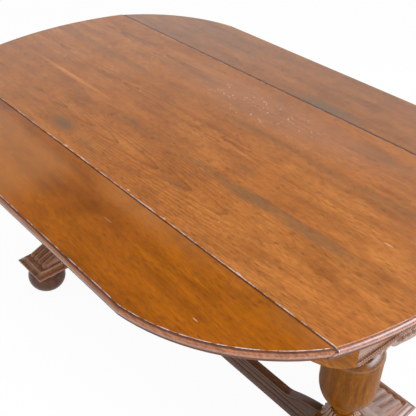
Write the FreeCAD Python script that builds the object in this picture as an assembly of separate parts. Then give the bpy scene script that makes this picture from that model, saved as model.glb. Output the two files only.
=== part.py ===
import FreeCAD, Part
import math
import os
from FreeCAD import Vector

# Oak drop-leaf table on two turned columns, in millimetres.
# Origin on the floor under the middle of the top, +X along the table, +Z up.
# East is +X, north is +Y. Both leaves are raised.

# Top: a fixed panel and two leaves
HEIGHT = 738.0  # floor to the panel's surface
LENGTH = 1366.0  # over the bowed ends of the panel
WIDTH_OPEN = 910.0  # over both raised leaves
PANEL_WIDTH = 524.0  # from seam to seam
TOP_THICK = 20.0
PANEL_END_R = 723.0  # bow of the panel's ends, in plan
LEAF_END_R = 401.0  # tighter sweep of the leaf's ends, in plan
LEAF_EDGE = 696.0  # straight part of a leaf's long edge
LEAF_STEP = 1.0  # a worn leaf sits this much below the panel

# Moulded edge round the top
THUMB_R = 6.0  # round nose
THUMB_WRAP = 66.0  # degrees that the nose turns under
QUIRK = 2.0  # small step under the surface
QUIRK_SET = 1.2  # flat at the foot of that step
EASE = 0.8  # worn arris

# Rule joint and its hinges
RULE_R = 12.0  # ovolo on the panel, centred on the hinge pin
RULE_GAP = 0.6  # the leaf's cove clears the ovolo
SEAM_GAP = 2.0  # seen between panel and leaf, at the surface
PIN_R = 1.6
PIN_PLAY = 0.05  # running fit of a flap on its pin
KNUCKLE_R = 3.5
KNUCKLE_PLAY = 0.4  # round the knuckle, and between knuckles
HINGE_SPACING = 430.0  # three hinges to a leaf
HINGE_WIDTH = 40.0
HINGE_MIDDLE = 13.4  # the panel's own knuckle
HINGE_THICK = 2.0
PLATE_REACH = 40.0  # fixed plate, from the pin
FLAP_REACH = 60.0  # leaf flap, from the pin
SCREW_HEAD_R = 3.4
SCREW_SHANK_R = 1.7
SCREW_LENGTH = 13.0
SCREW_INSET = 8.0  # from a plate's edges

# Frame under the top
FRAME_WIDTH = 426.0  # over the side rails
RAIL_THICK = 22.0
RAIL_DEPTH = 118.0
RAIL_SWEEP = 92.0  # length of the rounded rise at a rail's end
RAIL_SWELL = 9.5  # roundness of that rise
APRON_INSET = 37.0  # from the top's end to the middle of the apron's bowed face
APRON_BOW_R = 2460.0
APRON_THICK = 27.0  # at its middle
APRON_DEPTH = 54.0  # plain ends, under the top
ROPE_R = 4.2
ROPE_DEPTH = 48.0  # rope bead's middle, under the top
CUSP_Y = 179.0  # the plain end meets the small lobe
NOTCH_Y = 129.0  # the small lobe meets the long one
NOTCH_RISE = 9.0  # notch, below the plain ends
SMALL_LOBE = 11.0  # depth below the plain ends
LONG_LOBE = 44.0
LOBE_SHOULDER = 25.0  # the long lobe turns flat here
SHOULDER_Y = 100.0
LOBE_SWELL = 3.5
BLOCK_SIDE = 45.0  # corner block

# Bearers on the columns
COLUMN_INSET = 176.0  # from the top's end to the column's axis
BEARER_WIDTH = 90.0
BEARER_THICK = 45.0
BEARER_SCREW_R = 2.5
BEARER_SCREW_HEAD_R = 5.0
BEARER_SCREW_LENGTH = 56.0
BEARER_SCREW_Y = (75.0, 160.0)

# Lopers, the pull-out bars under the leaves
LOPER_X = 260.0
LOPER_WIDTH = 45.0
LOPER_HEIGHT = 30.0
LOPER_LENGTH = 190.0
LOPER_PLAY = 0.5
GUIDE_LENGTH = 24.0
GUIDE_WALL = 14.0
GUIDE_FLOOR = 10.0
PEG_R = 4.0
PEG_DROP = 7.0  # below the loper
PEG_DEPTH = 16.0  # inside the loper
PEG_INSET = 9.0  # from the loper's inner end
GRIP_R = 9.0  # finger groove under a loper's outer end
GRIP_INSET = 14.0

# Turned column, heights from the floor
TENON_R = 25.0
TENON_LENGTH = 55.0
BLOCK_TOP = 194.0  # corners of the square block at the foot of the column
FLARE_TOP = 238.0  # the neck flares out below this, over the block
FLARE_LIP = 2.0  # small step where the flare meets the neck
FLARE_HOLLOW = 9.0
NECK_R = 23.0
CUP_LOW = 266.0
CUP_LOW_R = 34.0
CUP_FILLET = 3.0  # thin ring under the cup
CUP_BELLY = 335.0  # the cup's side turns straight here
CUP_R = 63.0
CUP_SHOULDER = 420.0
CUP_TOP = 446.0
CUP_TOP_R = 49.0
SHOULDER_SWELL = 6.0  # roundness of the cup's shoulder
RING_R = 48.0
RING_HEIGHT = 10.0  # rings on the column, half round
WAIST_R = 29.0
WAIST_Z = 505.0
WAIST_HOLLOW = 4.0  # hollow between ring and waist
COLLAR_Z = 545.0
COLLAR_R = 41.0
CAPITAL_Z = 622.0
CAPITAL_R = 60.0
CAPITAL_HOLLOW = 7.0
ABACUS_R = 55.0
ABACUS_SWELL = 5.0
STEP = 4.0  # small steps between turnings
TOP_TENON_R = 20.0
TOP_TENON_LENGTH = 30.0

# Trestle foot
FOOT_LENGTH = 470.0
FOOT_WIDTH = 131.0
PLINTH_LOW = 82.0  # underside, on the bun feet
PLINTH_HIGH = 104.0
PLINTH_BAND = 8.0  # round lower band
BAND_ROUND = 3.0
PLINTH_STEP = 2.0
PLINTH_BEAD = 4.0  # small bead at the top
PLINTH_HOLLOW = 2.5
PLINTH_INSET = 18.0
HUMP_WIDTH = 88.0  # also the column's block
HUMP_TOP = 185.0
HUMP_FLAT = 46.0  # half length of the flat under the block
HUMP_TURN = (96.0, 156.0)  # the convex shoulder meets the concave sweep
HUMP_MID = (152.0, 132.5)
HUMP_TOE = (202.0, 114.0)
SHOULDER_BULGE = 2.5  # rise of the convex shoulder over its chord
REED_COUNT = 4
REED_OVERLAP = 0.5  # each reed is wider than its share by this, each side
REED_VALLEY = 6.5  # ground between the reeds
REED_END_Y = 126.0  # the reeds stop at a step
NOSE_Y = 197.0  # middle of a reed's round nose
SINK = 1.0  # a reed runs this far into the step

# Bun feet
BUN_R = 57.5
BUN_BASE_R = 36.0
BUN_CROWN_R = 40.0
BUN_BELLY_Z = 43.0
BUN_CROWN = 5.0  # thin disc under the plinth
BUN_Y = 179.0
DOWEL_R = 12.0
DOWEL_LENGTH = 15.0

# Stretcher
STRETCHER_THICK = 21.0
STRETCHER_LOW = 75.0
STRETCHER_HIGH = 141.0
STRETCHER_END = 179.0
STRETCHER_RAISED = 118.0  # length of a raised end, hollow at first
STRETCHER_TURN_IN = 94.0  # the hollow meets the swell this far from the foot
STRETCHER_TURN_Z = 147.5
STRETCHER_HOLLOW = 1.5
STRETCHER_SWELL = 3.5  # rise of the raised end over its chord
CAP_HEIGHT = 7.0  # plain top edge
CAP_QUIRK = 2.0  # narrow groove under it
CAP_QUIRK_DEPTH = 1.5
GROOVE_R = 3.0
GROOVE_DEPTH = 2.0
GROOVE_RISES = (27.0, 46.0)  # two grooves with a flat bead between, above the lower edge
STUB_THICK = 12.0  # stub tenons in the feet
STUB_HEIGHT = 38.0
STUB_LENGTH = 16.0
STUB_RISE = 8.0  # above the plinth

# Worked out from the sizes above
UNDER = HEIGHT - TOP_THICK
SEAM = PANEL_WIDTH / 2
PIN_Z = UNDER + KNUCKLE_R
LEAF_TOP = HEIGHT - LEAF_STEP
RAIL_Y = FRAME_WIDTH / 2
APRON_X = LENGTH / 2 - APRON_INSET
APRON_BACK_X = APRON_X - APRON_THICK
APRON_BOW_X = APRON_X - APRON_BOW_R
COLUMN_X = LENGTH / 2 - COLUMN_INSET
RAIL_IN = RAIL_Y - RAIL_THICK
CORNER_X = APRON_BOW_X + math.sqrt(APRON_BOW_R**2 - RAIL_Y**2)
BEARER_LOW = UNDER - BEARER_THICK
LOPER_TOP = UNDER - LOPER_PLAY
LOPER_LOW = LOPER_TOP - LOPER_HEIGHT
LOPER_IN = RAIL_Y - LOPER_LENGTH
SLOT_HALF = LOPER_WIDTH / 2 + LOPER_PLAY
SLOT_LOW = LOPER_LOW - LOPER_PLAY
STRETCHER_X = COLUMN_X - HUMP_WIDTH / 2
BUTT_X = COLUMN_X - FOOT_WIDTH / 2
HINGE_XS = (-HINGE_SPACING, 0.0, HINGE_SPACING)
FAR = LENGTH  # longer than anything it cuts
ALONG = Vector(1, 0, 0)
ACROSS = Vector(0, 1, 0)
UP = Vector(0, 0, 1)


# Drawing helpers: three drawing planes and closed outlines

def in_plan(x, y):
    return Vector(x, y, 0)


def end_view(y, z):
    return Vector(0, y, z)


def side_view(x, z):
    return Vector(x, 0, z)


def outline(plane, start, moves):
    """Closed face. A move is an end point for a line, or (through, end) for an arc."""
    edges = []
    here = start
    for move in list(moves) + [start]:
        if isinstance(move[0], tuple):
            through, end = move
            edges.append(Part.Arc(plane(*here), plane(*through), plane(*end)).toShape())
        else:
            end = move
            edges.append(Part.LineSegment(plane(*here), plane(*end)).toShape())
        here = end
    return Part.Face(Part.Wire(edges))


def bulge(start, end, rise):
    """Arc move from start to end whose middle stands off the chord by rise, to the left."""
    dx = end[0] - start[0]
    dy = end[1] - start[1]
    run = math.hypot(dx, dy)
    middle = ((start[0] + end[0]) / 2 - dy / run * rise, (start[1] + end[1]) / 2 + dx / run * rise)
    return (middle, end)


def turned(start, moves, x=0.0, y=0.0):
    """Solid turned about the upright axis at x, y."""
    solid = outline(side_view, start, moves).revolve(Vector(0, 0, 0), UP, 360)
    solid.translate(Vector(x, y, 0))
    return solid


def bar(low, high):
    """Box between two corners."""
    size = [b - a for a, b in zip(low, high)]
    return Part.makeBox(*size, Vector(*low))


def rod(radius, start, axis, length):
    return Part.makeCylinder(radius, length, Vector(*start), axis)


def mirrored(shape, axis):
    return shape.mirror(Vector(0, 0, 0), axis)


def joined(first, others):
    return first.fuse(others).removeSplitter()


# Top

def thumb_edge(nose, top, low):
    """Moulded edge from its underside up to the surface."""
    inner = nose - THUMB_R
    middle = top - QUIRK - THUMB_R
    wrap = math.radians(THUMB_WRAP)
    under = (inner + THUMB_R * math.cos(wrap), middle - THUMB_R * math.sin(wrap))
    arris = inner - QUIRK_SET
    return [
        (under[0], low),
        under,
        ((nose, middle), (inner, top - QUIRK)),
        (arris, top - QUIRK),
        (arris, top - EASE),
        (arris - EASE, top),
    ]


def moulded_disc(radius, top, x, y):
    return turned((0, UNDER), thumb_edge(radius, top, UNDER) + [(0, top)], x, y)


def panel_section():
    """End view of the panel with its two ovolos."""
    slant = RULE_R * math.sqrt(0.5)
    ovolo = ((SEAM + slant, PIN_Z + slant), (SEAM, PIN_Z + RULE_R))
    ovolo_back = ((-SEAM - slant, PIN_Z + slant), (-SEAM - RULE_R, PIN_Z))
    moves = [
        (SEAM + RULE_R, UNDER),
        (SEAM + RULE_R, PIN_Z),
        ovolo,
        (SEAM, HEIGHT - EASE),
        (SEAM - EASE, HEIGHT),
        (EASE - SEAM, HEIGHT),
        (-SEAM, HEIGHT - EASE),
        (-SEAM, PIN_Z + RULE_R),
        ovolo_back,
    ]
    return outline(end_view, (-SEAM - RULE_R, UNDER), moves)


def leaf_section():
    """End view of the north leaf, from its cove to its moulded edge."""
    cove_r = RULE_R + RULE_GAP
    slant = cove_r * math.sqrt(0.5)
    lip = SEAM + SEAM_GAP
    lip_z = PIN_Z + math.sqrt(cove_r**2 - SEAM_GAP**2)
    moves = thumb_edge(WIDTH_OPEN / 2, LEAF_TOP, UNDER) + [
        (lip + EASE, LEAF_TOP),
        (lip, LEAF_TOP - EASE),
        (lip, lip_z),
        ((SEAM + slant, PIN_Z + slant), (SEAM + cove_r, PIN_Z)),
    ]
    return outline(end_view, (SEAM + cove_r, UNDER), moves)


def leaf_end_centre():
    """Plan centre of the leaf's end sweep, through the seam's end and the long edge's end."""
    seam_end = LENGTH / 2 - PANEL_END_R + math.sqrt(PANEL_END_R**2 - SEAM**2)
    dx = LEAF_EDGE / 2 - seam_end
    dy = WIDTH_OPEN / 2 - SEAM
    run = math.hypot(dx, dy)
    back = math.sqrt(LEAF_END_R**2 - (run / 2) ** 2)
    x = (seam_end + LEAF_EDGE / 2) / 2 - dy / run * back
    y = (SEAM + WIDTH_OPEN / 2) / 2 + dx / run * back
    return x, y


def hinge_seat():
    """What the north hinges take out of the panel: knuckle grooves, plate seats and flap ways."""
    cuts = []
    half = HINGE_WIDTH / 2
    way = half + KNUCKLE_PLAY
    clear = KNUCKLE_R + KNUCKLE_PLAY
    top = UNDER + HINGE_THICK
    for x in HINGE_XS:
        cuts.append(rod(clear, (x - way, SEAM, PIN_Z), ALONG, 2 * way))
        cuts.append(bar((x - half, SEAM - PLATE_REACH, UNDER), (x + half, SEAM - clear, top)))
        cuts.append(bar((x - way, SEAM - clear, UNDER), (x + way, SEAM, top)))
        cuts.append(bar((x - way, SEAM, UNDER), (x + way, SEAM + 2 * RULE_R, top + KNUCKLE_PLAY)))
    return cuts


def main_top(screws):
    east = panel_section().extrude(ALONG * FAR)
    east = east.common(moulded_disc(PANEL_END_R, HEIGHT, LENGTH / 2 - PANEL_END_R, 0))
    body = joined(east, [mirrored(east, ALONG)])
    north = hinge_seat()
    south = [mirrored(cut, ACROSS) for cut in north]
    return body.cut(north + south + screws)


def leaf_north(screws):
    x, y = leaf_end_centre()
    middle = leaf_section().extrude(ALONG * 2 * x)
    middle.translate(ALONG * -x)
    end = leaf_section().extrude(ALONG * FAR)
    end.translate(ALONG * x)
    end = end.common(moulded_disc(LEAF_END_R, LEAF_TOP, x, y))
    body = joined(middle, [end, mirrored(end, ALONG)])
    flaps = []
    for hinge in HINGE_XS:
        low = (hinge - HINGE_WIDTH / 2, SEAM, UNDER)
        flaps.append(bar(low, (hinge + HINGE_WIDTH / 2, SEAM + FLAP_REACH, UNDER + HINGE_THICK)))
    return body.cut(flaps + screws)


# Hinges, drawn on the north side

def hinge_plate(x):
    """Fixed plate with the middle knuckle."""
    half = HINGE_WIDTH / 2
    mid = HINGE_MIDDLE / 2
    clear = KNUCKLE_R + KNUCKLE_PLAY
    top = UNDER + HINGE_THICK
    plate = bar((x - half, SEAM - PLATE_REACH, UNDER), (x + half, SEAM - clear, top))
    tongue = bar((x - mid, SEAM - clear, UNDER), (x + mid, SEAM, top))
    knuckle = rod(KNUCKLE_R, (x - mid, SEAM, PIN_Z), ALONG, HINGE_MIDDLE)
    return joined(plate, [tongue, knuckle]).cut(hinge_pin(x))


def hinge_flap(x):
    """Leaf flap with the two outer knuckles."""
    half = HINGE_WIDTH / 2
    inner = HINGE_MIDDLE / 2 + KNUCKLE_PLAY
    clear = KNUCKLE_R + KNUCKLE_PLAY
    top = UNDER + HINGE_THICK
    flap = bar((x - half, SEAM + clear, UNDER), (x + half, SEAM + FLAP_REACH, top))
    ears = []
    for low in (x - half, x + inner):
        high = low + half - inner
        ears.append(bar((low, SEAM, UNDER), (high, SEAM + clear, top)))
        ears.append(rod(KNUCKLE_R, (low, SEAM, PIN_Z), ALONG, high - low))
    return joined(flap, ears).cut(rod(PIN_R + PIN_PLAY, (x - half, SEAM, PIN_Z), ALONG, HINGE_WIDTH))


def hinge_pin(x):
    return rod(PIN_R, (x - HINGE_WIDTH / 2, SEAM, PIN_Z), ALONG, HINGE_WIDTH)


def wood_screw(x, y, low, head_r, shank_r, length):
    """Countersunk screw driven up from low."""
    sink = head_r - shank_r
    moves = [
        (head_r, low),
        (shank_r, low + sink),
        (shank_r, low + length - 2 * shank_r),
        (0, low + length),
    ]
    return turned((0, low), moves, x, y)


def hinge_screws(near, far):
    """Three screws to a plate that runs from near to far of the pin, in the north."""
    across = HINGE_WIDTH / 2 - SCREW_INSET
    spots = [(-across, far), (across, far), (0.0, near)]
    screws = []
    for x in HINGE_XS:
        for side, reach in spots:
            screw = wood_screw(x + side, SEAM + reach, UNDER, SCREW_HEAD_R, SCREW_SHANK_R, SCREW_LENGTH)
            screws.append(screw)
    return screws


# Frame under the top

def mitre(side):
    """What the rail's mitred end takes off the east apron."""
    far = RAIL_Y + RAIL_THICK
    beyond = 2 * CORNER_X - APRON_BACK_X
    moves = [(beyond, side * far), (0, side * far), (0, side * RAIL_IN)]
    return outline(in_plan, (APRON_BACK_X, side * RAIL_IN), moves).extrude(UP * HEIGHT)


def end_apron():
    """East apron: bowed face, rope bead, lobed lower edge, mitred ends."""
    half = RAIL_Y
    plan = outline(
        in_plan,
        (APRON_BACK_X, -half),
        [(CORNER_X, -half), ((APRON_X, 0), (CORNER_X, half)), (APRON_BACK_X, half)],
    )
    board = plan.extrude(UP * FAR)
    low = UNDER - APRON_DEPTH
    notch = (NOTCH_Y, low - NOTCH_RISE)
    shoulder = (SHOULDER_Y, low - LOBE_SHOULDER)
    right = [
        (half, low),
        (CUSP_Y, low),
        (((CUSP_Y + NOTCH_Y) / 2, low - SMALL_LOBE), notch),
        bulge(notch, shoulder, LOBE_SWELL),
        ((0, low - LONG_LOBE), (-SHOULDER_Y, low - LOBE_SHOULDER)),
    ]
    left = [
        bulge((-SHOULDER_Y, low - LOBE_SHOULDER), (-NOTCH_Y, low - NOTCH_RISE), LOBE_SWELL),
        (((-CUSP_Y - NOTCH_Y) / 2, low - SMALL_LOBE), (-CUSP_Y, low)),
        (-half, low),
    ]
    front = outline(end_view, (-half, UNDER), [(half, UNDER)] + right + left)
    body = board.common(front.extrude(ALONG * FAR))
    turn = math.degrees(math.asin(half / APRON_BOW_R))
    bead = Part.Face(Part.Wire(Part.makeCircle(ROPE_R, Vector(APRON_X, 0, UNDER - ROPE_DEPTH), ACROSS)))
    bead.rotate(Vector(APRON_BOW_X, 0, 0), UP, -turn)
    rope = bead.revolve(Vector(APRON_BOW_X, 0, 0), UP, 2 * turn)
    width = bar((0, -half, 0), (FAR, half, HEIGHT))
    return joined(body, [rope.common(width)]).cut([mitre(1), mitre(-1)])


def side_rail():
    """North rail: mitred to the aprons, notched for the lopers, its lower edge swept up at the ends."""
    end = CORNER_X
    low = UNDER - RAIL_DEPTH
    end_low = UNDER - APRON_DEPTH
    sweep = end - RAIL_SWEEP
    moves = [
        (-end, end_low),
        bulge((-end, end_low), (-sweep, low), -RAIL_SWELL),
        (sweep, low),
        bulge((sweep, low), (end, end_low), -RAIL_SWELL),
        (end, UNDER),
    ]
    body = outline(side_view, (-end, UNDER), moves).extrude(ACROSS * RAIL_THICK)
    body.translate(ACROSS * RAIL_IN)
    plan = [(CORNER_X, RAIL_Y), (APRON_BACK_X, RAIL_IN), (-APRON_BACK_X, RAIL_IN)]
    body = body.common(outline(in_plan, (-CORNER_X, RAIL_Y), plan).extrude(UP * HEIGHT))
    slots = []
    for x in (-LOPER_X, LOPER_X):
        slots.append(bar((x - SLOT_HALF, 0, SLOT_LOW), (x + SLOT_HALF, RAIL_Y, UNDER)))
    return body.cut(slots)


def corner_block():
    """North-east glue block between rail, apron and top."""
    corner = (APRON_BACK_X, RAIL_IN)
    moves = [(APRON_BACK_X, RAIL_IN - BLOCK_SIDE), (APRON_BACK_X - BLOCK_SIDE, RAIL_IN)]
    block = outline(in_plan, corner, moves).extrude(UP * BLOCK_SIDE)
    block.translate(UP * (UNDER - BLOCK_SIDE))
    return block


def bearer_screw_set():
    """East screws, from the bearer's underside into the panel."""
    screws = []
    for y in BEARER_SCREW_Y:
        for side in (-y, y):
            screws.append(
                wood_screw(
                    COLUMN_X, side, BEARER_LOW, BEARER_SCREW_HEAD_R, BEARER_SCREW_R, BEARER_SCREW_LENGTH
                )
            )
    return screws


def bearer(screws):
    half = BEARER_WIDTH / 2
    body = bar((COLUMN_X - half, -RAIL_IN, BEARER_LOW), (COLUMN_X + half, RAIL_IN, UNDER))
    tenon = rod(TOP_TENON_R, (COLUMN_X, 0, BEARER_LOW), UP, TOP_TENON_LENGTH)
    return body.cut([tenon] + screws)


# Lopers, drawn in the north-east

def stop_peg():
    low = LOPER_LOW - PEG_DROP
    return rod(PEG_R, (LOPER_X, LOPER_IN + PEG_INSET, low), UP, PEG_DROP + PEG_DEPTH)


def loper():
    half = LOPER_WIDTH / 2
    body = bar((LOPER_X - half, LOPER_IN, LOPER_LOW), (LOPER_X + half, RAIL_Y, LOPER_TOP))
    grip = rod(GRIP_R, (LOPER_X - half, RAIL_Y - GRIP_INSET, LOPER_LOW), ALONG, LOPER_WIDTH)
    return body.cut([stop_peg(), grip])


def loper_guide():
    half = SLOT_HALF + GUIDE_WALL
    low = (LOPER_X - half, RAIL_IN - GUIDE_LENGTH, SLOT_LOW - GUIDE_FLOOR)
    body = bar(low, (LOPER_X + half, RAIL_IN, UNDER))
    return body.cut(bar((LOPER_X - SLOT_HALF, 0, SLOT_LOW), (LOPER_X + SLOT_HALF, RAIL_IN, UNDER)))


# Trestle, drawn in the east

def stub_tenon():
    """Tenon of the stretcher in the foot."""
    low = PLINTH_HIGH + STUB_RISE
    start = (STRETCHER_X, -STUB_THICK / 2, low)
    return bar(start, (STRETCHER_X + STUB_LENGTH, STUB_THICK / 2, low + STUB_HEIGHT))


def column_turning():
    """Turned post with its tenons: neck, cup, ring, waist, collar and capital."""
    half_ring = RING_HEIGHT / 2
    cup_r = ((CUP_R - CUP_LOW_R) ** 2 + (CUP_BELLY - CUP_LOW) ** 2) / (2 * (CUP_R - CUP_LOW_R))
    lean = math.asin((CUP_BELLY - CUP_LOW) / cup_r) / 2
    cup_mid = (CUP_R - cup_r + cup_r * math.cos(lean), CUP_BELLY - cup_r * math.sin(lean))
    ring_low = (RING_R - half_ring, CUP_TOP + STEP)
    ring_top = (RING_R - half_ring, CUP_TOP + STEP + RING_HEIGHT)
    hollow = (ring_top[0] - STEP, ring_top[1])
    collar_low = (COLLAR_R - half_ring, COLLAR_Z + STEP)
    collar_top = (COLLAR_R - half_ring, COLLAR_Z + STEP + RING_HEIGHT)
    bell = (WAIST_R + STEP, collar_top[1])
    cap_top = (CAPITAL_R, CAPITAL_Z + RING_HEIGHT)
    tenon_top = BEARER_LOW + TOP_TENON_LENGTH
    moves = [
        (TENON_R, HUMP_TOP - TENON_LENGTH),
        (TENON_R, HUMP_TOP),
        (NECK_R, HUMP_TOP),
        (NECK_R, CUP_LOW - CUP_FILLET),
        (CUP_LOW_R, CUP_LOW - CUP_FILLET),
        (CUP_LOW_R, CUP_LOW),
        (cup_mid, (CUP_R, CUP_BELLY)),
        (CUP_R, CUP_SHOULDER),
        bulge((CUP_R, CUP_SHOULDER), (CUP_TOP_R, CUP_TOP), -SHOULDER_SWELL),
        (ring_low[0], CUP_TOP),
        ring_low,
        ((RING_R, ring_low[1] + half_ring), ring_top),
        hollow,
        bulge(hollow, (WAIST_R, WAIST_Z), WAIST_HOLLOW),
        (WAIST_R, COLLAR_Z),
        (collar_low[0], COLLAR_Z),
        collar_low,
        ((COLLAR_R, collar_low[1] + half_ring), collar_top),
        bell,
        bulge(bell, (CAPITAL_R - STEP, CAPITAL_Z), CAPITAL_HOLLOW),
        (CAPITAL_R, CAPITAL_Z),
        cap_top,
        bulge(cap_top, (ABACUS_R, cap_top[1] + 2 * RING_HEIGHT), -ABACUS_SWELL),
        (ABACUS_R, BEARER_LOW),
        (TOP_TENON_R, BEARER_LOW),
        (TOP_TENON_R, tenon_top),
        (0, tenon_top),
    ]
    return turned((0, HUMP_TOP - TENON_LENGTH), moves, COLUMN_X)


def column():
    """Turned post that flares out over a square block."""
    half = HUMP_WIDTH / 2
    block = bar((COLUMN_X - half, -half, HUMP_TOP), (COLUMN_X + half, half, FLARE_TOP))
    corner = (half * math.sqrt(2), BLOCK_TOP)
    lip = (NECK_R + FLARE_LIP, FLARE_TOP)
    moves = [
        (HUMP_WIDTH, HUMP_TOP),
        (HUMP_WIDTH, BLOCK_TOP),
        corner,
        bulge(corner, lip, FLARE_HOLLOW),
        (0, FLARE_TOP),
    ]
    flare = turned((0, HUMP_TOP), moves, COLUMN_X)
    return joined(column_turning(), [block.common(flare)])


def plinth_side(plane, reach, run):
    """Half of the plinth, moulded on one side: round band, cove and small bead."""
    inner = reach - BAND_ROUND
    band_top = PLINTH_LOW + PLINTH_BAND
    cove = (inner - PLINTH_STEP, band_top)
    bead = (reach - PLINTH_INSET, PLINTH_HIGH - PLINTH_BEAD)
    bead_out = (bead[0] + PLINTH_BEAD / 2, PLINTH_HIGH - PLINTH_BEAD / 2)
    moves = [
        (inner, PLINTH_LOW),
        ((reach, PLINTH_LOW + PLINTH_BAND / 2), (inner, band_top)),
        cove,
        bulge(cove, bead, PLINTH_HOLLOW),
        (bead_out, (bead[0], PLINTH_HIGH)),
        (0, PLINTH_HIGH),
    ]
    side = outline(plane, (0, PLINTH_LOW), moves).extrude(run * FAR)
    side.translate(run * (-FAR / 2))
    return side


def plinth_quarter():
    across = plinth_side(end_view, FOOT_LENGTH / 2, ALONG)
    along = plinth_side(side_view, FOOT_WIDTH / 2, ACROSS)
    return across.common(along)


def sweep_centre():
    """Centre and radius of the concave sweep of the hump, in the end view."""
    points = [end_view(*point) for point in (HUMP_TURN, HUMP_MID, HUMP_TOE)]
    circle = Part.Arc(*points).toShape().Curve
    return circle.Center.y, circle.Center.z, circle.Radius


def on_sweep(y, depth):
    """Point of the sweep at y, or of the ground that lies depth below it."""
    centre_y, centre_z, radius = sweep_centre()
    return (y, centre_z - math.sqrt((radius + depth) ** 2 - (y - centre_y) ** 2))


def reed(x):
    """One reed of the north toe: half-round along the sweep, with a ball nose."""
    centre_y, centre_z, radius = sweep_centre()
    reed_r = HUMP_WIDTH / REED_COUNT / 2 + REED_OVERLAP
    nose = on_sweep(NOSE_Y, 0)
    end = on_sweep(REED_END_Y - SINK, 0)
    nose_turn = math.atan2(nose[1] - centre_z, nose[0] - centre_y)
    end_turn = math.atan2(end[1] - centre_z, end[0] - centre_y)
    reach = radius + reed_r
    middle = Vector(x, centre_y + reach * math.cos(nose_turn), centre_z + reach * math.sin(nose_turn))
    ahead = Vector(0, -math.sin(nose_turn), math.cos(nose_turn))
    round_face = Part.Face(Part.Wire(Part.makeCircle(reed_r, middle, ahead)))
    run = round_face.revolve(Vector(0, centre_y, centre_z), ALONG, math.degrees(end_turn - nose_turn))
    return run.fuse(Part.makeSphere(reed_r, middle))


def hump():
    """North half of the hump, with its reeds."""
    inside = PLINTH_LOW + PLINTH_BAND
    toe_y = HUMP_TOE[0]
    ground_mid = on_sweep((toe_y + REED_END_Y) / 2, REED_VALLEY)
    sweep_mid = on_sweep((REED_END_Y + HUMP_TURN[0]) / 2, 0)
    flat = (HUMP_FLAT, HUMP_TOP)
    moves = [
        (toe_y, inside),
        on_sweep(toe_y, REED_VALLEY),
        (ground_mid, on_sweep(REED_END_Y, REED_VALLEY)),
        on_sweep(REED_END_Y, 0),
        (sweep_mid, HUMP_TURN),
        bulge(HUMP_TURN, flat, -SHOULDER_BULGE),
        (0, HUMP_TOP),
    ]
    body = outline(end_view, (0, inside), moves).extrude(ALONG * HUMP_WIDTH)
    body.translate(ALONG * (-HUMP_WIDTH / 2))
    pitch = HUMP_WIDTH / REED_COUNT
    reeds = [reed((n + 0.5) * pitch - HUMP_WIDTH / 2) for n in range(REED_COUNT)]
    return body.fuse(reeds)


def foot():
    """East foot: moulded plinth and reeded hump in one piece, bored for column, stretcher and buns."""
    quarter = plinth_quarter()
    half = quarter.fuse([mirrored(quarter, ALONG), hump()])
    body = joined(half, [mirrored(half, ACROSS)])
    body.translate(ALONG * COLUMN_X)
    bores = [rod(TENON_R, (COLUMN_X, 0, HUMP_TOP - TENON_LENGTH), UP, TENON_LENGTH), stub_tenon()]
    for y in (-BUN_Y, BUN_Y):
        bores.append(rod(DOWEL_R, (COLUMN_X, y, PLINTH_LOW), UP, DOWEL_LENGTH))
    return body.cut(bores)


def bun_foot():
    """North-east bun foot with its dowel."""
    crown = PLINTH_LOW - BUN_CROWN
    moves = [
        (BUN_BASE_R, 0),
        ((BUN_R, BUN_BELLY_Z), (BUN_CROWN_R, crown)),
        (BUN_CROWN_R, PLINTH_LOW),
        (DOWEL_R, PLINTH_LOW),
        (DOWEL_R, PLINTH_LOW + DOWEL_LENGTH),
        (0, PLINTH_LOW + DOWEL_LENGTH),
    ]
    return turned((0, 0), moves, COLUMN_X, BUN_Y)


def stretcher_board(thick, drop):
    """Side outline of the stretcher, lowered by drop, at a thickness."""
    end = (STRETCHER_X, STRETCHER_END)
    turn = (STRETCHER_X - STRETCHER_TURN_IN, STRETCHER_TURN_Z)
    rise = (STRETCHER_X - STRETCHER_RAISED, STRETCHER_HIGH)
    moves = [
        (BUTT_X, STRETCHER_LOW),
        (BUTT_X, PLINTH_HIGH),
        (STRETCHER_X, PLINTH_HIGH),
        end,
        bulge(end, turn, -STRETCHER_SWELL),
        bulge(turn, rise, STRETCHER_HOLLOW),
        (-rise[0], rise[1]),
        bulge((-rise[0], rise[1]), (-turn[0], turn[1]), STRETCHER_HOLLOW),
        bulge((-turn[0], turn[1]), (-end[0], end[1]), -STRETCHER_SWELL),
        (-STRETCHER_X, PLINTH_HIGH),
        (-BUTT_X, PLINTH_HIGH),
    ]
    board = outline(side_view, (-BUTT_X, STRETCHER_LOW), moves).extrude(ACROSS * thick)
    board.translate(Vector(0, -thick / 2, -drop))
    return board


def stretcher():
    """Board with a quirk under its top edge, a grooved face on each side and stub tenons."""
    wide = 2 * STRETCHER_THICK
    under_cap = stretcher_board(wide, CAP_HEIGHT)
    quirk = under_cap.cut(stretcher_board(wide, CAP_HEIGHT + CAP_QUIRK))
    core = stretcher_board(STRETCHER_THICK - 2 * CAP_QUIRK_DEPTH, 0)
    reach = bar((-STRETCHER_X, -wide, PLINTH_HIGH), (STRETCHER_X, wide, HEIGHT))
    cuts = [quirk.common(reach).cut(core)]
    for rise in GROOVE_RISES:
        for side in (-1, 1):
            y = side * (STRETCHER_THICK / 2 - GROOVE_DEPTH + GROOVE_R)
            cuts.append(rod(GROOVE_R, (-STRETCHER_X, y, STRETCHER_LOW + rise), ALONG, 2 * STRETCHER_X))
    stub = stub_tenon()
    return joined(stretcher_board(STRETCHER_THICK, 0).cut(cuts), [stub, mirrored(stub, ALONG)])


# Assembly

def ends(name, east):
    return {name + "_east": east, name + "_west": mirrored(east, ALONG)}


def sides(name, north):
    return {name + "_north": north, name + "_south": mirrored(north, ACROSS)}


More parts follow.
